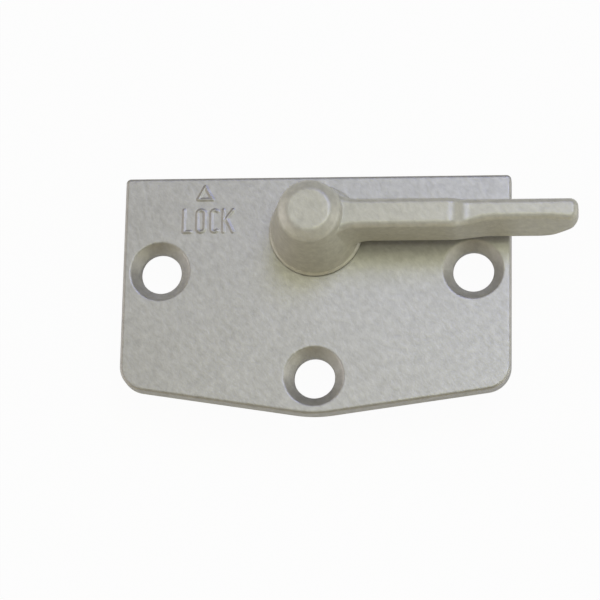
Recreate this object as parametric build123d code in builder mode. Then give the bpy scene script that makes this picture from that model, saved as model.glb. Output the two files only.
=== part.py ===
from build123d import *
import math
import os

# Sash lock: a lever handle on a screw-down plate turns a hooked cam under the plate
# All sizes are in millimetres, with +X to the right, +Y to the rear and +Z up off the rail
# The origin is midway between the two side screw holes, on the face that lies on the rail
# The part is modelled unlocked: the lever points right and the hook is hidden under the plate

os.makedirs("parts", exist_ok=True)

# Plate
plate_width = 57.15
plate_side = 31.75
plate_depth = 35.95
plate_thickness = 2.4
rear_edge_y = 14.3
rear_corner_radius = 0.7
front_corner_radius = 3.8
front_point_radius = 18.0
plate_edge_radius = 0.45

# Mounting screw holes
side_hole_inset = 5.525
front_hole_from_point = 5.8
screw_hole_diameter = 6.0
countersink_diameter = 8.8
countersink_rim_radius = 0.35

# Bearing boss and bush, on the spindle's axis
spindle_from_rear = 8.35
boss_diameter = 13.2
boss_height = 1.8
bush_outer_diameter = 10.0
bush_flange_diameter = 12.4
bush_flange_thickness = 0.5
bush_recess_depth = 0.3
bush_seat_clearance = 0.02

# Handle hub
hub_base_diameter = 13.8
hub_foot_height = 0.25
hub_foot_flare = 0.35
hub_foot_radius = 0.15
hub_height = 12.0
hub_shoulder_diameter = 9.1
hub_shoulder_drop = 0.95
hub_top_diameter = 6.4
hub_edge_radius = 1.2

# Lever arm and thumb tab, lengths from the spindle's axis
arm_width = 4.6
arm_height = 7.2
arm_top_below_hub = 2.1
arm_draft = 0.9
arm_end = 19.8
arm_flare_radius = 5.0
arm_flare_bite = 0.1
slope_length = 3.1
tab_end = 38.45
tab_drop = 1.0
tab_front_corner_radius = 1.4
tab_rear_corner_radius = 1.2
tip_inset_at_top = 0.8
tip_inset_at_bottom = 1.0
tip_edge_height = 2.4
tip_under_radius = 6.5
scoop_depth_at_top = 1.55
scoop_depth_at_bottom = 0.5
scoop_start_past_arm = 0.8
scoop_run_in = 4.4
scoop_run_out = 3.65
scoop_start_radius = 3.0
scoop_root_radius = 13.0
scoop_end_radius = 4.0
lever_edge_radius = 0.9

# Spindle and its square tang
spindle_diameter = 8.0
tang_width = 5.6
tang_short_of_cam = 0.25
spindle_running_clearance = 0.05
thrust_clearance = 0.05

# Friction spring between the boss and the cam
friction_spring_height = 0.75
friction_spring_thickness = 0.4
friction_spring_outer_diameter = 11.2
friction_spring_inner_diameter = 8.4
friction_spring_play = 0.02

# Cam with its hook
cam_thickness = 2.8
cam_hub_diameter = 11.6
cam_flat_distance = 5.2
cam_reach = 15.5
cam_square_clearance = 0.05
hook_mouth_radius = 13.0
hook_root_radius = 11.6
hook_tip_angle = -140.0
hook_web_back_angle = -62.0
hook_web_past_axis = 0.4
hook_corner_radius = 1.0
hook_edge_chamfer = 0.3

# Detent leaf spring, the lugs that hold it and the lug that stops the hook's web
leaf_thickness = 0.4
leaf_height = 2.1
leaf_clearance = 0.05
lug_inner_jaw = 0.8
lug_outer_jaw = 1.4
lug_start = 6.2
lug_length = 1.6
lug_end_wall = 0.4
stop_lug_width = 2.4
stop_lug_depth = 1.5
stop_lug_hub_clearance = 0.8
stop_gap = 0.15

# Retaining washer and screw
washer_diameter = 9.6
washer_thickness = 0.6
washer_edge_chamfer = 0.15
screw_diameter = 3.0
screw_length = 8.0
screw_point_chamfer = 0.3
screw_head_diameter = 5.6
screw_head_height = 2.1
screw_head_edge_radius = 0.85
screw_fit_clearance = 0.05
screw_hole_spare = 0.5
screw_recess_width = 0.8
screw_recess_span = 3.0
screw_recess_depth = 1.2
screw_recess_taper = 8.0

# How far a cut runs past the face it opens, and how closely a place has to match
cut_margin = 1.0
match_tolerance = 0.01

# Heights and places that follow from the sizes above
spindle_y = rear_edge_y - spindle_from_rear
side_front_y = rear_edge_y - plate_side
front_point_y = rear_edge_y - plate_depth
side_hole_x = plate_width / 2 - side_hole_inset
front_hole_y = front_point_y + front_hole_from_point
bush_top_z = plate_thickness - bush_recess_depth + bush_flange_thickness
hub_bottom_z = bush_top_z + thrust_clearance
hub_top_z = plate_thickness + hub_height
hub_shoulder_z = hub_top_z - hub_shoulder_drop
hub_foot_z = hub_bottom_z + hub_foot_height
hub_cone_radius = hub_base_diameter / 2 - hub_foot_flare
hub_cone_z = hub_foot_z + hub_foot_flare
hub_cone_slope = (hub_cone_radius - hub_shoulder_diameter / 2) / (hub_shoulder_z - hub_cone_z)
arm_top_z = hub_top_z - arm_top_below_hub
arm_bottom_z = arm_top_z - arm_height
tab_top_z = arm_top_z - tab_drop
slope_end = arm_end + slope_length
scoop_start = arm_end + scoop_start_past_arm
boss_bottom_z = -boss_height
cam_top_z = boss_bottom_z - friction_spring_height
cam_bottom_z = cam_top_z - cam_thickness
tang_end_z = cam_bottom_z + tang_short_of_cam
washer_bottom_z = cam_bottom_z - washer_thickness
screw_head_z = washer_bottom_z - screw_head_height
screw_end_z = washer_bottom_z + screw_length
leaf_x = cam_flat_distance + leaf_clearance
leaf_top_z = cam_top_z - (cam_thickness - leaf_height) / 2
lug_bottom_z = leaf_top_z - leaf_height - leaf_clearance
spindle_axis = Axis((0, spindle_y, 0), (0, 0, 1))
spindle_section = Plane.XZ.offset(-spindle_y)


def polar(radius, angle):
    """A point at a radius and an angle in degrees from the spindle's axis, in plan."""
    turn = math.radians(angle)
    return (radius * math.cos(turn), spindle_y + radius * math.sin(turn))


# Base plate with its boss, spring lugs and stop lug
with BuildPart() as base_plate:
    with BuildSketch(Plane.XY) as plate_outline:
        with BuildLine():
            Polyline(
                (-plate_width / 2, rear_edge_y),
                (-plate_width / 2, side_front_y),
                (0, front_point_y),
                (plate_width / 2, side_front_y),
                (plate_width / 2, rear_edge_y),
                close=True,
            )
        make_face()
        fillet(plate_outline.vertices().group_by(Axis.Y)[-1], rear_corner_radius)
        fillet(plate_outline.vertices().group_by(Axis.Y)[1], front_corner_radius)
        fillet(plate_outline.vertices().group_by(Axis.Y)[0], front_point_radius)
    extrude(amount=plate_thickness)
    fillet(base_plate.faces().sort_by(Axis.Z)[-1].edges(), plate_edge_radius)
    with BuildSketch(Plane.XY):
        with Locations((0, spindle_y)):
            Circle(boss_diameter / 2)
    extrude(amount=-boss_height)
    lug_x = leaf_x - leaf_clearance - lug_inner_jaw
    slot_width = leaf_thickness + 2 * leaf_clearance
    lug_width = lug_inner_jaw + slot_width + lug_outer_jaw
    for side in (-1, 1):
        lug_y = spindle_y + side * (lug_start + lug_length / 2)
        slot_y = spindle_y + side * (lug_start + (lug_length - lug_end_wall) / 2)
        with BuildSketch(Plane.XY):
            with Locations((lug_x + lug_width / 2, lug_y)):
                Rectangle(lug_width, lug_length)
            with Locations((lug_x + lug_inner_jaw + slot_width / 2, slot_y)):
                Rectangle(slot_width, lug_length - lug_end_wall, mode=Mode.SUBTRACT)
        extrude(amount=lug_bottom_z)
    stop_corner = (hook_web_past_axis + stop_gap, spindle_y + cam_hub_diameter / 2 + stop_lug_hub_clearance)
    with BuildSketch(Plane.XY):
        with Locations(stop_corner):
            Rectangle(stop_lug_width, stop_lug_depth, align=(Align.MIN, Align.MIN))
    extrude(amount=cam_bottom_z)
    with BuildSketch(Plane.XY.offset(boss_bottom_z)):
        with Locations((0, spindle_y)):
            Circle(bush_outer_diameter / 2 + bush_seat_clearance)
    extrude(amount=boss_height + plate_thickness, mode=Mode.SUBTRACT)
    with BuildSketch(Plane.XY.offset(plate_thickness)):
        with Locations((0, spindle_y)):
            Circle(bush_flange_diameter / 2 + bush_seat_clearance)
    extrude(amount=-bush_recess_depth, mode=Mode.SUBTRACT)
    screw_places = [(-side_hole_x, 0), (side_hole_x, 0), (0, front_hole_y)]
    with Locations(*[(x, y, plate_thickness) for x, y in screw_places]):
        CounterSinkHole(screw_hole_diameter / 2, countersink_diameter / 2, depth=plate_thickness)
    countersink_rims = base_plate.edges().filter_by(
        lambda edge: abs(edge.length - math.pi * countersink_diameter) < match_tolerance
    )
    fillet(countersink_rims, countersink_rim_radius)
base_plate.part.label = "base_plate"
export_step(base_plate.part, "parts/base_plate.step")

# Flanged bush that lines the plate's bore and carries the hub
with BuildPart() as spindle_bush:
    with BuildSketch(spindle_section):
        with BuildLine():
            bore_radius = spindle_diameter / 2 + spindle_running_clearance
            Polyline(
                (bore_radius, boss_bottom_z),
                (bush_outer_diameter / 2, boss_bottom_z),
                (bush_outer_diameter / 2, plate_thickness - bush_recess_depth),
                (bush_flange_diameter / 2, plate_thickness - bush_recess_depth),
                (bush_flange_diameter / 2, bush_top_z),
                (bore_radius, bush_top_z),
                close=True,
            )
        make_face()
    revolve(axis=spindle_axis)
spindle_bush.part.label = "spindle_bush"
export_step(spindle_bush.part, "parts/spindle_bush.step")

# Handle: hub, lever arm, thumb tab, spindle and square tang in one casting
with BuildPart() as handle:
    # The lever narrows upwards from its underside to its top, and the scoop in its front deepens
    for level_z, scoop_depth, tip_inset in (
        (arm_bottom_z, scoop_depth_at_bottom, tip_inset_at_bottom),
        (arm_top_z, scoop_depth_at_top, tip_inset_at_top),
    ):
        level_draft = (level_z - arm_bottom_z) * math.tan(math.radians(arm_draft))
        level_hub_radius = hub_cone_radius - hub_cone_slope * (level_z - hub_cone_z)
        tip_x = tab_end - level_draft
        rear_y = spindle_y + arm_width / 2 - level_draft
        front_y = spindle_y - arm_width / 2 + level_draft
        scoop_y = front_y + scoop_depth
        tip_front_y = front_y + tip_inset
        with BuildSketch(Plane.XY.offset(level_z)) as lever_plan:
            with BuildLine():
                FilletPolyline(
                    (0, rear_y),
                    (tip_x, rear_y),
                    (tip_x, tip_front_y),
                    (tab_end - scoop_run_out, scoop_y),
                    (scoop_start + scoop_run_in, scoop_y),
                    (scoop_start, front_y),
                    (0, front_y),
                    radius=[
                        tab_rear_corner_radius,
                        tab_front_corner_radius,
                        scoop_end_radius,
                        scoop_root_radius,
                        scoop_start_radius,
                    ],
                )
                Line((0, front_y), (0, rear_y))
            make_face()
            with Locations((0, spindle_y)):
                Circle(level_hub_radius - arm_flare_bite)
            root_corners = lever_plan.vertices().filter_by(
                lambda corner: 0 < corner.X < hub_base_diameter / 2
            )
            fillet(root_corners, arm_flare_radius)
            with Locations((0, spindle_y)):
                Rectangle(
                    tab_end,
                    hub_base_diameter,
                    align=(Align.MIN, Align.CENTER),
                    mode=Mode.INTERSECT,
                )
    loft(ruled=True)
    # A soft step leads down from the arm to the thumb tab, whose tip is rounded underneath
    tip_rise = tab_top_z - tip_edge_height - arm_bottom_z
    tip_rise_start = tab_end - math.sqrt(tip_under_radius**2 - (tip_under_radius - tip_rise) ** 2)
    with BuildSketch(spindle_section):
        with BuildLine():
            slope_middle = ((arm_end + slope_end) / 2, (arm_top_z + tab_top_z) / 2)
            Polyline(
                (slope_end, tab_top_z),
                (tab_end + cut_margin, tab_top_z),
                (tab_end + cut_margin, arm_top_z + cut_margin),
                (arm_end, arm_top_z + cut_margin),
                (arm_end, arm_top_z),
            )
            TangentArc((arm_end, arm_top_z), slope_middle, tangent=(1, 0))
            TangentArc((slope_end, tab_top_z), slope_middle, tangent=(-1, 0))
        make_face()
    extrude(amount=arm_width, both=True, mode=Mode.SUBTRACT)
    with BuildSketch(spindle_section):
        with BuildLine():
            Polyline(
                (tab_end, arm_bottom_z + tip_rise),
                (tab_end + cut_margin, arm_bottom_z + tip_rise),
                (tab_end + cut_margin, arm_bottom_z - cut_margin),
                (tip_rise_start, arm_bottom_z - cut_margin),
                (tip_rise_start, arm_bottom_z),
            )
            RadiusArc((tip_rise_start, arm_bottom_z), (tab_end, arm_bottom_z + tip_rise), -tip_under_radius)
        make_face()
    extrude(amount=arm_width, both=True, mode=Mode.SUBTRACT)
    # The rim is rounded all round the top, down the step too
    lever_rim = handle.edges().filter_by(
        lambda edge: edge.center().Z > tab_top_z - match_tolerance
    ).filter_by(Axis.Y, reverse=True)
    fillet(lever_rim, lever_edge_radius)
    # The hub is a cone with a flared foot, a sloping shoulder and a flat top
    with BuildSketch(spindle_section) as hub_section:
        with BuildLine():
            Polyline(
                (0, hub_bottom_z),
                (hub_base_diameter / 2, hub_bottom_z),
                (hub_base_diameter / 2, hub_foot_z),
                (hub_cone_radius, hub_cone_z),
                (hub_shoulder_diameter / 2, hub_shoulder_z),
                (hub_top_diameter / 2, hub_top_z),
                (0, hub_top_z),
                close=True,
            )
        make_face()
        foot_corner = hub_section.vertices().sort_by_distance((hub_base_diameter / 2, hub_foot_z))[0]
        fillet(foot_corner, hub_foot_radius)
        top_corners = hub_section.vertices().filter_by(
            lambda corner: corner.Y > arm_top_z and corner.X > 0
        )
        fillet(top_corners, hub_edge_radius)
    revolve(axis=spindle_axis)
    with BuildSketch(Plane.XY.offset(hub_bottom_z)):
        with Locations((0, spindle_y)):
            Circle(spindle_diameter / 2)
    extrude(amount=cam_top_z - hub_bottom_z)
    with BuildSketch(Plane.XY.offset(cam_top_z)):
        with Locations((0, spindle_y)):
            Rectangle(tang_width, tang_width)
    extrude(amount=tang_end_z - cam_top_z)
    with BuildSketch(Plane.XY.offset(tang_end_z)):
        with Locations((0, spindle_y)):
            Circle(screw_diameter / 2 + screw_fit_clearance)
    extrude(amount=screw_end_z - tang_end_z + screw_hole_spare, mode=Mode.SUBTRACT)
handle.part.label = "handle"
export_step(handle.part, "parts/handle.step")

# Dished friction spring that presses the boss and the cam apart
with BuildPart() as friction_spring:
    with BuildSketch(spindle_section):
        with BuildLine():
            spring_top_z = boss_bottom_z - friction_spring_play
            spring_bottom_z = cam_top_z + friction_spring_play
            Polyline(
                (friction_spring_inner_diameter / 2, spring_top_z),
                (friction_spring_outer_diameter / 2, spring_bottom_z + friction_spring_thickness),
                (friction_spring_outer_diameter / 2, spring_bottom_z),
                (friction_spring_inner_diameter / 2, spring_top_z - friction_spring_thickness),
                close=True,
            )
        make_face()
    revolve(axis=spindle_axis)
friction_spring.part.label = "friction_spring"
export_step(friction_spring.part, "parts/friction_spring.step")

# Cam: a hub with two detent flats, and a hook whose inner edge draws the keeper in
with BuildPart() as cam:
    with BuildSketch(Plane.XY.offset(cam_bottom_z)) as cam_plan:
        with Locations((0, spindle_y)):
            Circle(cam_hub_diameter / 2)
            Rectangle(2 * cam_flat_distance, cam_hub_diameter, mode=Mode.INTERSECT)
        with BuildLine():
            hook_span = hook_web_back_angle - hook_tip_angle
            hook_root = (-hook_web_past_axis, spindle_y - hook_root_radius)
            CenterArc((0, spindle_y), cam_reach, hook_tip_angle, hook_span)
            Polyline(
                polar(cam_reach, hook_web_back_angle),
                (0, spindle_y),
                (-hook_web_past_axis, spindle_y),
                hook_root,
            )
            ThreePointArc(
                hook_root,
                polar((hook_root_radius + hook_mouth_radius) / 2, (hook_tip_angle - 90) / 2),
                polar(hook_mouth_radius, hook_tip_angle),
            )
            Line(polar(hook_mouth_radius, hook_tip_angle), polar(cam_reach, hook_tip_angle))
        make_face()
        hook_corners = cam_plan.vertices().filter_by(
            lambda corner: abs(abs(corner.X) - cam_flat_distance) > match_tolerance
        )
        fillet(hook_corners, hook_corner_radius)
        with Locations((0, spindle_y)):
            Rectangle(
                tang_width + 2 * cam_square_clearance,
                tang_width + 2 * cam_square_clearance,
                mode=Mode.SUBTRACT,
            )
    extrude(amount=cam_thickness)
    chamfer(cam.faces().sort_by(Axis.Z)[0].outer_wire().edges(), hook_edge_chamfer)
    chamfer(cam.faces().sort_by(Axis.Z)[-1].outer_wire().edges(), hook_edge_chamfer)
cam.part.label = "cam"
export_step(cam.part, "parts/cam.step")

# Leaf spring that snaps onto the cam's flats at each end of the turn
with BuildPart() as detent_spring:
    leaf_length = 2 * (lug_start + lug_length - lug_end_wall - leaf_clearance)
    with BuildSketch(Plane.XY.offset(leaf_top_z - leaf_height)):
        with Locations((leaf_x + leaf_thickness / 2, spindle_y)):
            Rectangle(leaf_thickness, leaf_length)
    extrude(amount=leaf_height)
detent_spring.part.label = "detent_spring"
export_step(detent_spring.part, "parts/detent_spring.step")

# Washer that holds the cam up on the tang
with BuildPart() as retaining_washer:
    with BuildSketch(Plane.XY.offset(washer_bottom_z)):
        with Locations((0, spindle_y)):
            Circle(washer_diameter / 2)
            Circle(screw_diameter / 2 + screw_fit_clearance, mode=Mode.SUBTRACT)
    extrude(amount=washer_thickness)
    chamfer(retaining_washer.faces().sort_by(Axis.Z)[0].outer_wire().edges(), washer_edge_chamfer)
retaining_washer.part.label = "retaining_washer"
export_step(retaining_washer.part, "parts/retaining_washer.step")

# Pan head screw with a cross recess, driven up into the tang
with BuildPart() as retaining_screw:
    with BuildSketch(Plane.XY.offset(washer_bottom_z)):
        with Locations((0, spindle_y)):
            Circle(screw_head_diameter / 2)
    extrude(amount=-screw_head_height)
    fillet(retaining_screw.faces().sort_by(Axis.Z)[0].edges(), screw_head_edge_radius)
    with BuildSketch(Plane.XY.offset(washer_bottom_z)):
        with Locations((0, spindle_y)):
            Circle(screw_diameter / 2)
    extrude(amount=screw_length)
    chamfer(retaining_screw.faces().sort_by(Axis.Z)[-1].edges(), screw_point_chamfer)
    with BuildSketch(Plane.XY.offset(screw_head_z)):
        with Locations((0, spindle_y)):
            Rectangle(screw_recess_span, screw_recess_width)
            Rectangle(screw_recess_width, screw_recess_span)
    extrude(amount=screw_recess_depth, taper=screw_recess_taper, mode=Mode.SUBTRACT)
retaining_screw.part.label = "retaining_screw"
export_step(retaining_screw.part, "parts/retaining_screw.step")
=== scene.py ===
import math

import bmesh
import bpy
import numpy as np
from mathutils import Matrix, Vector


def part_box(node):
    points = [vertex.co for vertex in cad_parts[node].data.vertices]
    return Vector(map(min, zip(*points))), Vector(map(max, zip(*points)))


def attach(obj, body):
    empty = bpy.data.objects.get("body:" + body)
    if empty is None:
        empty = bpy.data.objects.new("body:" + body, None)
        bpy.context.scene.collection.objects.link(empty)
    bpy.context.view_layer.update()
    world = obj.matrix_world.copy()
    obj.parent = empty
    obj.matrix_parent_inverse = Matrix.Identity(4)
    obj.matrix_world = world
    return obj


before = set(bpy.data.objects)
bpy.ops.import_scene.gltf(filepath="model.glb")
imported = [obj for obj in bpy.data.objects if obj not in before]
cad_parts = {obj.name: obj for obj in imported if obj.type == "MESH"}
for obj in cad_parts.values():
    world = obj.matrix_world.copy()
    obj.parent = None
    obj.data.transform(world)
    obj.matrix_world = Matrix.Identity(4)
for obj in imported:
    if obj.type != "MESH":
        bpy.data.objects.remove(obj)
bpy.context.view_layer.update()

MM = 0.001

# Heights read from the frame: the plate's top and the lock's lowest point
plate_top_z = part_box("base_plate")[1].z
lowest_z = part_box("retaining_screw")[0].z

# Camera, with a tilt towards the front, a turn to the right and a roll about its own axis
CAMERA_TILT = math.radians(14.069)
CAMERA_TURN = math.radians(6.435)
CAMERA_ROLL = math.radians(1.171)
CAMERA_DISTANCE = 391.97 * MM
CAMERA_AIM = Vector((-2.465 * MM, -3.879 * MM, 0))
CAMERA_LENS = 159.97
CAMERA_SENSOR = 36
CAMERA_CLIP_START = 10 * MM

# Raised word and arrowhead that mark the locked end of the turn: the width of a stroke and
# of the slope at its foot, how many slopes wide its rounding is, the height that a wide
# stroke would reach, the step of the mesh, and how far the foot and the flat back lie under
# the plate's top
MARK_STROKE = 0.60 * MM
MARK_SLOPE = 0.38 * MM
MARK_ROUNDING = 1.8
MARK_HEIGHT = 0.155 * MM
MARK_GRID = 0.07 * MM
MARK_SINK = 0.02 * MM
MARK_BACK = 3 * MARK_SINK

# Letters of the word, by their outer edges, or by the centre and the half width of a round
# letter's centreline
WORD_LOW_Y = 5.7 * MM
WORD_HIGH_Y = 9.6 * MM
L_LEFT_X = -20.0 * MM
L_RIGHT_X = -18.4 * MM
O_CENTRE_X = -17.15 * MM
O_HALF_WIDTH = 0.57 * MM
C_CENTRE_X = -15.1 * MM
C_HALF_WIDTH = 0.50 * MM
C_MOUTH_ANGLE = 42
K_LEFT_X = -14.1 * MM
K_RIGHT_X = -12.1 * MM
K_JOIN_SHARE = 0.42
K_LEG_RIGHT = 0.45 * MM
K_LEG_UP = 0.62 * MM
OVAL_STEPS = 28

# Arrowhead, by its outline
ARROW_APEX = (-16.65 * MM, 13.5 * MM)
ARROW_LEFT_X = -18.15 * MM
ARROW_RIGHT_X = -14.95 * MM
ARROW_BASE_Y = 10.65 * MM

# Values that several finishes share: most of a noise lies in this range, and Blender's Mix
# node has its colours on these sockets
NOISE_RANGE = (0.3, 0.7)
EDGE_SAMPLES = 6
BUMP_STRENGTH = 1.0
MIX_FACTOR = 0
MIX_FIRST = 6
MIX_SECOND = 7
MIX_RESULT = 2

# Champagne paint, and how the plate, the marks and the handle differ in it; the marks wear the
# plate's own paint in darker tints, a painted shade on the raised strokes
PAINT_PEEL = {
    "size": 0.82 * MM,
    "detail": 3.0,
    "roughness": 0.6,
    "stretch": (0.85, 1.4, 1),
    "turn": math.radians(45),
}
PAINT_PATCH = {"size": 1.5 * MM, "detail": 2.0}
PAINT_GRAIN = {"size": 0.13 * MM, "detail": 2.0}
PAINT_CLOUD = {"size": 9 * MM, "detail": 2.0}
PAINT_PEEL_TONES = (0.91, 1.09)
PAINT_PATCH_TONES = (0.96, 1.04)
PAINT_GRAIN_TONES = (0.97, 1.03)
PAINT_PEEL_RELIEF = 0.032 * MM
PAINT_GRAIN_RELIEF = 0.004 * MM
PAINT_ROUGHNESS_SPREAD = 0.05
PLATE_PAINT = {
    "metallic": 0.85,
    "roughness": 0.49,
    "tints": ((0.528, 0.518, 0.504, 1), (0.550, 0.541, 0.531, 1)),
    "edge_radius": 0.30 * MM,
}
# The plate's paint made darker for the raised marks: painted shade on the strokes
SHADED_MARK_PAINT = {
    "metallic": 0.85,
    "roughness": 0.49,
    "tints": ((0.500, 0.488, 0.472, 1), (0.520, 0.510, 0.498, 1)),
    "edge_radius": 0,
}
HANDLE_PAINT = {
    "metallic": 0.22,
    "roughness": 0.38,
    "tints": ((0.580, 0.568, 0.515, 1), (0.603, 0.592, 0.541, 1)),
    "edge_radius": 0.30 * MM,
}

# Finishes of the pieces under the plate
BUSH_FLOW = {"size": 1.6 * MM, "detail": 2.0}
BUSH_FINE = {"size": 0.12 * MM}
BUSH_TINTS = ((0.62, 0.61, 0.55, 1), (0.68, 0.67, 0.62, 1))
BUSH_ROUGHNESS = (0.38, 0.52)
BUSH_RELIEF = 0.003 * MM
BUSH_GLOW_SHARE = 0.15
BUSH_GLOW_DEPTH = (0.4 * MM, 0.35 * MM, 0.25 * MM)
SPRING_LINES = {"size": 0.10 * MM, "stretch": (1, 30, 1)}
SPRING_STAIN = {"size": 2.4 * MM}
SPRING_TINTS = ((0.34, 0.34, 0.36, 1), (0.44, 0.44, 0.45, 1))
SPRING_TONES = (0.9, 1.06)
SPRING_ROUGHNESS = (0.26, 0.42)
SPRING_RELIEF = 0.003 * MM
ZINC_SKIN = {"size": 0.35 * MM, "detail": 3.0}
ZINC_CLOUD = {"size": 3.0 * MM, "detail": 3.0}
ZINC_TINTS = ((0.42, 0.42, 0.43, 1), (0.54, 0.54, 0.54, 1))
ZINC_TONES = (0.93, 1.05)
ZINC_METALLIC = 0.9
ZINC_ROUGHNESS = (0.38, 0.56)
ZINC_RELIEF = 0.010 * MM
ZINC_EDGE_RADIUS = 0.12 * MM
STEEL_FINE = {"size": 0.08 * MM}
STEEL_CLOUD = {"size": 1.8 * MM}
STEEL_TINTS = ((0.56, 0.57, 0.60, 1), (0.66, 0.66, 0.66, 1))
STEEL_ROUGHNESS = (0.22, 0.34)
STEEL_RELIEF = 0.002 * MM
STEEL_EDGE_RADIUS = 0.08 * MM

# Floor
FLOOR_HALF = 2.5
FLOOR_CELLS = 8
FLOOR_COLOUR = (0.8, 0.8, 0.8, 1)
FLOOR_GLOW = (1, 1, 1, 1)
FLOOR_WHITE = 0.96
FLOOR_WHITE_IN_GLOSS = 0.15

# Light: even surroundings, glows that fade away from their axis, and two square lamps,
# with their distance and size in metres and their power in watts
WORLD_COLOUR = (0.20, 0.19, 0.13)
GLOWS = (
    {"axis": (0, -1, 0.12), "falloff": 14, "colour": (0.18, 0.10, 0.0)},
    {"axis": (0.75, -0.65, 0.15), "falloff": 40, "colour": (1.7, 1.65, 1.25)},
    {"axis": (-0.75, -0.65, 0.15), "falloff": 30, "colour": (0.7, 0.65, 0.40)},
    {"axis": (1, 0, 0.15), "falloff": 14, "colour": (2.0, 2.0, 1.9)},
    {"axis": (-1, 0, 0.15), "falloff": 14, "colour": (1.5, 1.5, 1.5)},
    {"axis": (-1, 0, 0.5), "falloff": 4, "colour": (0.38, 0.32, 0.33)},
)
LAMP_DISTANCE = 0.9
KEY_DIRECTION = Vector((0.22, 0.18, 0.96))
KEY_SIZE = 0.6
KEY_POWER = 2.47
KEY_COLOUR = (0.96, 1.0, 0.73)
WINDOW_DIRECTION = Vector((0.25, 0.42, 0.87))
WINDOW_SIZE = 0.35
WINDOW_POWER = 1.34
WINDOW_COLOUR = (0.14, 0.19, 1.0)


# Camera

def add_camera():
    """The photograph's own viewpoint: above, a little in front and to the right."""
    data = bpy.data.cameras.new("camera")
    data.lens = CAMERA_LENS
    data.sensor_width = CAMERA_SENSOR
    data.clip_start = CAMERA_CLIP_START
    camera = bpy.data.objects.new("camera", data)
    bpy.context.scene.collection.objects.link(camera)
    turn = (
        Matrix.Rotation(CAMERA_TURN, 4, "Y")
        @ Matrix.Rotation(CAMERA_TILT, 4, "X")
        @ Matrix.Rotation(CAMERA_ROLL, 4, "Z")
    )
    back = turn.to_3x3() @ Vector((0, 0, 1))
    camera.matrix_world = Matrix.Translation(CAMERA_AIM + back * CAMERA_DISTANCE) @ turn
    bpy.context.scene.camera = camera


# Materials

class Nodes:
    """A short way to write a material's nodes."""

    def __init__(self, name):
        self.material = bpy.data.materials.new(name)
        self.material.use_nodes = True
        self.tree = self.material.node_tree
        self.tree.nodes.clear()
        self.output = self.tree.nodes.new("ShaderNodeOutputMaterial")

    def add(self, kind, links=None, **values):
        """A node with its settings, and its sockets linked or set to values."""
        node = self.tree.nodes.new(kind)
        for key, value in values.items():
            setattr(node, key, value)
        for socket, source in (links or {}).items():
            if isinstance(source, bpy.types.NodeSocket):
                self.tree.links.new(source, node.inputs[socket])
            else:
                node.inputs[socket].default_value = source
        return node

    def place(self):
        """The point on the piece, in metres, which rides with it."""
        return self.add("ShaderNodeTexCoord").outputs["Object"]

    def noise(self, place, size, detail=3.0, roughness=0.55, stretch=(1, 1, 1), turn=0.0):
        """Noise from 0 to 1 whose blotches are about size across, in metres, and longer
        along an axis that is stretched."""
        mapping = self.add(
            "ShaderNodeMapping",
            {
                "Vector": place,
                "Rotation": (0, 0, turn),
                "Scale": tuple(size * factor for factor in stretch),
            },
            vector_type="TEXTURE",
        )
        return self.add(
            "ShaderNodeTexNoise",
            {
                "Vector": mapping.outputs["Vector"],
                "Scale": 1.0,
                "Detail": detail,
                "Roughness": roughness,
            },
        ).outputs["Fac"]

    def spread(self, value, low, high):
        """A noise spread between low and high."""
        return self.add(
            "ShaderNodeMapRange",
            {
                "Value": value,
                "From Min": NOISE_RANGE[0],
                "From Max": NOISE_RANGE[1],
                "To Min": low,
                "To Max": high,
            },
        ).outputs["Result"]

    def math(self, operation, first, second):
        node = self.add("ShaderNodeMath", {0: first, 1: second}, operation=operation)
        return node.outputs["Value"]

    def shade(self, colour, value):
        """A colour made lighter or darker by a pattern."""
        node = self.add("ShaderNodeVectorMath", {0: colour, 1: value}, operation="MULTIPLY")
        return node.outputs["Vector"]

    def cloudy(self, noise, tints):
        """A colour that drifts between two tints."""
        links = {MIX_FACTOR: self.spread(noise, 0, 1), MIX_FIRST: tints[0], MIX_SECOND: tints[1]}
        return self.add("ShaderNodeMix", links, data_type="RGBA").outputs[MIX_RESULT]

    def soft_edges(self, radius):
        """The surface's direction, eased round its sharp edges."""
        node = self.add("ShaderNodeBevel", {"Radius": radius}, samples=EDGE_SAMPLES)
        return node.outputs["Normal"]

    def bump(self, height, distance, normal=None):
        """The surface's direction on a fine relief, distance high in metres."""
        links = {"Height": height, "Distance": distance, "Strength": BUMP_STRENGTH}
        if normal is not None:
            links["Normal"] = normal
        return self.add("ShaderNodeBump", links).outputs["Normal"]

    def finish(self, **values):
        """The principled shader that the material ends in."""
        links = {key.replace("_", " "): value for key, value in values.items()}
        shader = self.add("ShaderNodeBsdfPrincipled", links)
        self.tree.links.new(shader.outputs["BSDF"], self.output.inputs["Surface"])
        return self.material


def champagne_paint(name, metallic, roughness, tints, edge_radius):
    """Satin champagne paint with a metallic grain, sprayed on a die casting."""
    n = Nodes(name)
    place = n.place()
    peel = n.noise(place, **PAINT_PEEL)
    patch = n.noise(place, **PAINT_PATCH)
    grain = n.noise(place, **PAINT_GRAIN)
    cloud = n.noise(place, **PAINT_CLOUD)
    tone = n.math(
        "MULTIPLY",
        n.spread(peel, *PAINT_PEEL_TONES),
        n.spread(grain, *PAINT_GRAIN_TONES),
    )
    tone = n.math("MULTIPLY", tone, n.spread(patch, *PAINT_PATCH_TONES))
    relief = n.soft_edges(edge_radius) if edge_radius else None
    relief = n.bump(peel, PAINT_PEEL_RELIEF, relief)
    relief = n.bump(grain, PAINT_GRAIN_RELIEF, relief)
    glossiest = roughness - PAINT_ROUGHNESS_SPREAD
    dullest = roughness + PAINT_ROUGHNESS_SPREAD
    return n.finish(
        Base_Color=n.shade(n.cloudy(cloud, tints), tone),
        Metallic=metallic,
        Roughness=n.spread(grain, glossiest, dullest),
        Normal=relief,
    )


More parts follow.
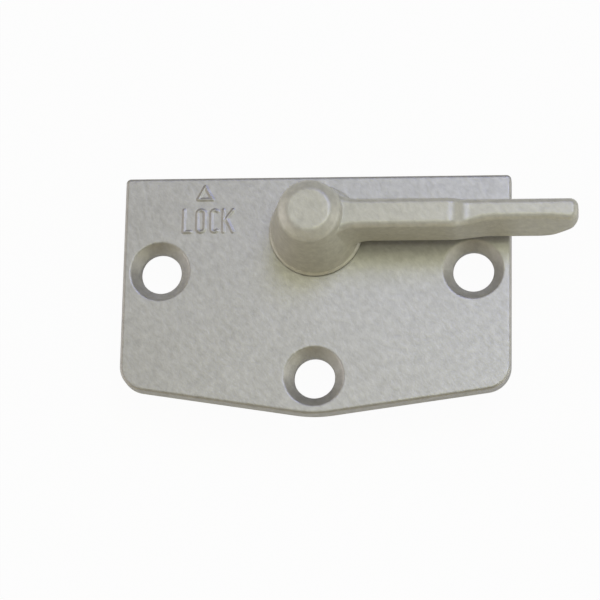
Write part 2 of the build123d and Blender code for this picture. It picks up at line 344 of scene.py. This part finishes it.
def bush_plastic():
    """Natural acetal: waxy, faintly mottled and slightly see-through."""
    n = Nodes("bush_plastic")
    place = n.place()
    flow = n.noise(place, **BUSH_FLOW)
    fine = n.noise(place, **BUSH_FINE)
    return n.finish(
        Base_Color=n.cloudy(flow, BUSH_TINTS),
        Roughness=n.spread(fine, *BUSH_ROUGHNESS),
        Subsurface_Weight=BUSH_GLOW_SHARE,
        Subsurface_Radius=BUSH_GLOW_DEPTH,
        Subsurface_Scale=1.0,
        Normal=n.bump(fine, BUSH_RELIEF),
    )


def rolled_steel():
    """Spring steel with the fine lines of rolling along the leaf spring's length."""
    n = Nodes("spring_steel")
    place = n.place()
    lines = n.noise(place, **SPRING_LINES)
    stain = n.noise(place, **SPRING_STAIN)
    return n.finish(
        Base_Color=n.shade(n.cloudy(stain, SPRING_TINTS), n.spread(lines, *SPRING_TONES)),
        Metallic=1.0,
        Roughness=n.spread(lines, *SPRING_ROUGHNESS),
        Normal=n.bump(lines, SPRING_RELIEF),
    )


def cast_zinc():
    """Bare die-cast zinc, dulled, with a faint pebbled skin."""
    n = Nodes("plated_zinc")
    place = n.place()
    skin = n.noise(place, **ZINC_SKIN)
    cloud = n.noise(place, **ZINC_CLOUD)
    return n.finish(
        Base_Color=n.shade(n.cloudy(cloud, ZINC_TINTS), n.spread(skin, *ZINC_TONES)),
        Metallic=ZINC_METALLIC,
        Roughness=n.spread(skin, *ZINC_ROUGHNESS),
        Normal=n.bump(skin, ZINC_RELIEF, n.soft_edges(ZINC_EDGE_RADIUS)),
    )


def plated_steel():
    """Bright zinc plating, faintly clouded, with a slight bluish cast."""
    n = Nodes("plated_steel")
    place = n.place()
    fine = n.noise(place, **STEEL_FINE)
    cloud = n.noise(place, **STEEL_CLOUD)
    return n.finish(
        Base_Color=n.cloudy(cloud, STEEL_TINTS),
        Metallic=1.0,
        Roughness=n.spread(fine, *STEEL_ROUGHNESS),
        Normal=n.bump(fine, STEEL_RELIEF, n.soft_edges(STEEL_EDGE_RADIUS)),
    )


def floor_paint():
    """A matte floor that glows white to the camera and through glass, and a little in
    glossy reflections, so that it keeps a weak shadow."""
    n = Nodes("floor_paint")
    path = n.add("ShaderNodeLightPath").outputs
    seen = n.math("MAXIMUM", path["Is Camera Ray"], path["Is Transmission Ray"])
    share = n.math(
        "MAXIMUM",
        n.math("MULTIPLY", seen, FLOOR_WHITE),
        n.math("MULTIPLY", path["Is Glossy Ray"], FLOOR_WHITE_IN_GLOSS),
    )
    matte = n.add("ShaderNodeBsdfDiffuse", {"Color": FLOOR_COLOUR}).outputs["BSDF"]
    glow = n.add("ShaderNodeEmission", {"Color": FLOOR_GLOW, "Strength": 1.0})
    links = {"Fac": share, 1: matte, 2: glow.outputs["Emission"]}
    mix = n.add("ShaderNodeMixShader", links)
    n.tree.links.new(mix.outputs["Shader"], n.output.inputs["Surface"])
    return n.material


def paint(obj, material):
    """The piece wears this material alone."""
    obj.data.materials.clear()
    obj.data.materials.append(material)


# Raised marks on the plate

def oval(centre_x, half_width, from_angle, to_angle):
    """The centreline of a narrow letter with round ends, as tall as the word, from one
    angle to another in degrees."""
    low = WORD_LOW_Y + MARK_STROKE / 2
    high = WORD_HIGH_Y - MARK_STROKE / 2
    middle = (low + high) / 2
    straight = (high - low) / 2 - half_width
    points = []
    for step in range(OVAL_STEPS + 1):
        angle = math.radians(from_angle + (to_angle - from_angle) * step / OVAL_STEPS)
        shift = math.copysign(straight, math.sin(angle))
        x = centre_x + half_width * math.cos(angle)
        y = middle + shift + half_width * math.sin(angle)
        points.append((x, y))
    return points


def word_strokes():
    """The centrelines of the four letters, in plain narrow capitals."""
    half = MARK_STROKE / 2
    low = WORD_LOW_Y + half
    high = WORD_HIGH_Y - half
    l_left = L_LEFT_X + half
    l_right = L_RIGHT_X - half
    k_left = K_LEFT_X + half
    k_right = K_RIGHT_X - half
    k_join_y = low + (high - low) * K_JOIN_SHARE
    return [
        [(l_left, high), (l_left, low), (l_right, low)],
        oval(O_CENTRE_X, O_HALF_WIDTH, 90, 450),
        oval(C_CENTRE_X, C_HALF_WIDTH, C_MOUTH_ANGLE, 360 - C_MOUTH_ANGLE),
        [(k_left, high), (k_left, low)],
        [(k_right, high), (k_left, k_join_y)],
        [(k_left + K_LEG_RIGHT, k_join_y + K_LEG_UP), (k_right, low)],
    ]


def arrow_strokes():
    """The centreline of the arrowhead, half a stroke inside its outline."""
    corners = [ARROW_APEX, (ARROW_LEFT_X, ARROW_BASE_Y), (ARROW_RIGHT_X, ARROW_BASE_Y)]
    points = [np.array(corner) for corner in corners]
    sides = [np.linalg.norm(points[(i + 1) % 3] - points[(i + 2) % 3]) for i in range(3)]
    centre = sum(side * point for side, point in zip(sides, points)) / sum(sides)
    inner_radius = centre[1] - points[1][1]
    share = 1 - MARK_STROKE / 2 / inner_radius
    inset = [tuple(centre + (point - centre) * share) for point in points]
    return [inset + [inset[0]]]


def distance_to_strokes(x, y, strokes):
    """The distance from each point of a grid to the nearest centreline."""
    nearest = np.full(x.shape, np.inf)
    for stroke in strokes:
        for start, end in zip(stroke[:-1], stroke[1:]):
            dx, dy = end[0] - start[0], end[1] - start[1]
            along = ((x - start[0]) * dx + (y - start[1]) * dy) / (dx * dx + dy * dy)
            along = np.clip(along, 0, 1)
            gap = np.hypot(x - start[0] - along * dx, y - start[1] - along * dy)
            nearest = np.minimum(nearest, gap)
    return nearest


def raised_mark(name, strokes):
    """Strokes cast proud of the plate, with soft sides, as one closed low relief."""
    corners = np.array([point for stroke in strokes for point in stroke])
    reach = MARK_STROKE / 2 + MARK_SLOPE + MARK_GRID
    low, high = corners.min(0) - reach, corners.max(0) + reach
    columns = int(math.ceil((high[0] - low[0]) / MARK_GRID)) + 1
    rows = int(math.ceil((high[1] - low[1]) / MARK_GRID)) + 1
    x = low[0] + MARK_GRID * np.arange(columns)[:, None] + np.zeros((1, rows))
    y = low[1] + MARK_GRID * np.arange(rows)[None, :] + np.zeros((columns, 1))
    gap = distance_to_strokes(x, y, strokes)
    foot = MARK_STROKE / 2 + MARK_SLOPE / 2
    rise = np.clip((foot - gap) / (MARK_SLOPE * MARK_ROUNDING), 0, 1)
    rise = rise * rise * (3 - 2 * rise)
    z = plate_top_z - MARK_SINK + (MARK_HEIGHT + MARK_SINK) * rise
    mesh = bmesh.new()
    grid = {}

    def corner(i, j):
        if (i, j) not in grid:
            grid[i, j] = mesh.verts.new((x[i, j], y[i, j], z[i, j]))
        return grid[i, j]

    for i in range(columns - 1):
        for j in range(rows - 1):
            if rise[i : i + 2, j : j + 2].max() > 0:
                cell = ((i, j), (i + 1, j), (i + 1, j + 1), (i, j + 1))
                mesh.faces.new([corner(*place) for place in cell])
    top_faces = list(mesh.faces)
    copy = bmesh.ops.duplicate(mesh, geom=list(mesh.verts) + list(mesh.edges) + top_faces)
    under_faces = [item for item in copy["geom"] if isinstance(item, bmesh.types.BMFace)]
    for item in copy["geom"]:
        if isinstance(item, bmesh.types.BMVert):
            item.co.z = plate_top_z - MARK_BACK
    bmesh.ops.reverse_faces(mesh, faces=under_faces)
    rims = [edge for edge in mesh.edges if edge.is_boundary]
    bmesh.ops.bridge_loops(mesh, edges=rims)
    data = bpy.data.meshes.new(name)
    mesh.to_mesh(data)
    mesh.free()
    data.polygons.foreach_set("use_smooth", [True] * len(data.polygons))
    piece = bpy.data.objects.new(name, data)
    bpy.context.scene.collection.objects.link(piece)
    return piece


# Floor and light

def add_floor(material):
    """A wide floor at the height of the lock's lowest point."""
    mesh = bmesh.new()
    bmesh.ops.create_grid(
        mesh, x_segments=FLOOR_CELLS, y_segments=FLOOR_CELLS, size=FLOOR_HALF
    )
    data = bpy.data.meshes.new("floor")
    mesh.to_mesh(data)
    mesh.free()
    floor = bpy.data.objects.new("floor", data)
    floor.location.z = lowest_z
    bpy.context.scene.collection.objects.link(floor)
    paint(floor, material)


def add_lamp(name, direction, size, power, colour):
    """A square lamp that faces the lock from a direction."""
    data = bpy.data.lights.new(name, "AREA")
    data.shape = "SQUARE"
    data.size = size
    data.energy = power
    data.color = colour
    lamp = bpy.data.objects.new(name, data)
    lamp.location = direction.normalized() * LAMP_DISTANCE
    lamp.rotation_euler = direction.to_track_quat("Z", "Y").to_euler()
    bpy.context.scene.collection.objects.link(lamp)


def add_world():
    """Dim warm surroundings with soft glows, most of them low around the lock."""
    world = bpy.data.worlds.new("world")
    world.use_nodes = True
    tree = world.node_tree
    direction = tree.nodes.new("ShaderNodeTexCoord").outputs["Generated"]
    total = WORLD_COLOUR

    def vector_math(operation, first, second, output="Vector"):
        node = tree.nodes.new("ShaderNodeVectorMath")
        node.operation = operation
        for socket, source in ((node.inputs[0], first), (node.inputs[1], second)):
            if isinstance(source, bpy.types.NodeSocket):
                tree.links.new(source, socket)
            else:
                socket.default_value = source
        return node.outputs[output]

    for glow in GLOWS:
        axis = Vector(glow["axis"]).normalized()
        facing = vector_math("DOT_PRODUCT", direction, axis, "Value")
        ahead = vector_math("MAXIMUM", facing, (0, 0, 0))
        share = vector_math("POWER", ahead, (glow["falloff"],) * 3)
        total = vector_math("ADD", total, vector_math("MULTIPLY", share, glow["colour"]))
    tree.links.new(total, tree.nodes["Background"].inputs["Color"])
    bpy.context.scene.world = world


add_camera()
plate_paint = champagne_paint("champagne_paint", **PLATE_PAINT)
# The raised marks take the plate's paint in darker tints, a painted shade
shaded_mark_paint = champagne_paint("champagne_paint_mark_shaded", **SHADED_MARK_PAINT)
handle_paint = champagne_paint("champagne_paint_handle", **HANDLE_PAINT)
steel = plated_steel()
spring = rolled_steel()
finishes = {
    "base_plate": plate_paint,
    "handle": handle_paint,
    "spindle_bush": bush_plastic(),
    "friction_spring": spring,
    "detent_spring": spring,
    "cam": cast_zinc(),
    "retaining_washer": steel,
    "retaining_screw": steel,
}
for node, material in finishes.items():
    paint(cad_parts[node], material)

for name, strokes in (("lock_word", word_strokes()), ("lock_arrow", arrow_strokes())):
    mark = raised_mark(name, strokes)
    paint(mark, shaded_mark_paint)
    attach(mark, "base")

add_floor(floor_paint())
add_world()
add_lamp("key", KEY_DIRECTION, KEY_SIZE, KEY_POWER, KEY_COLOUR)
add_lamp("window", WINDOW_DIRECTION, WINDOW_SIZE, WINDOW_POWER, WINDOW_COLOUR)
bpy.context.scene.view_settings.view_transform = "Standard"
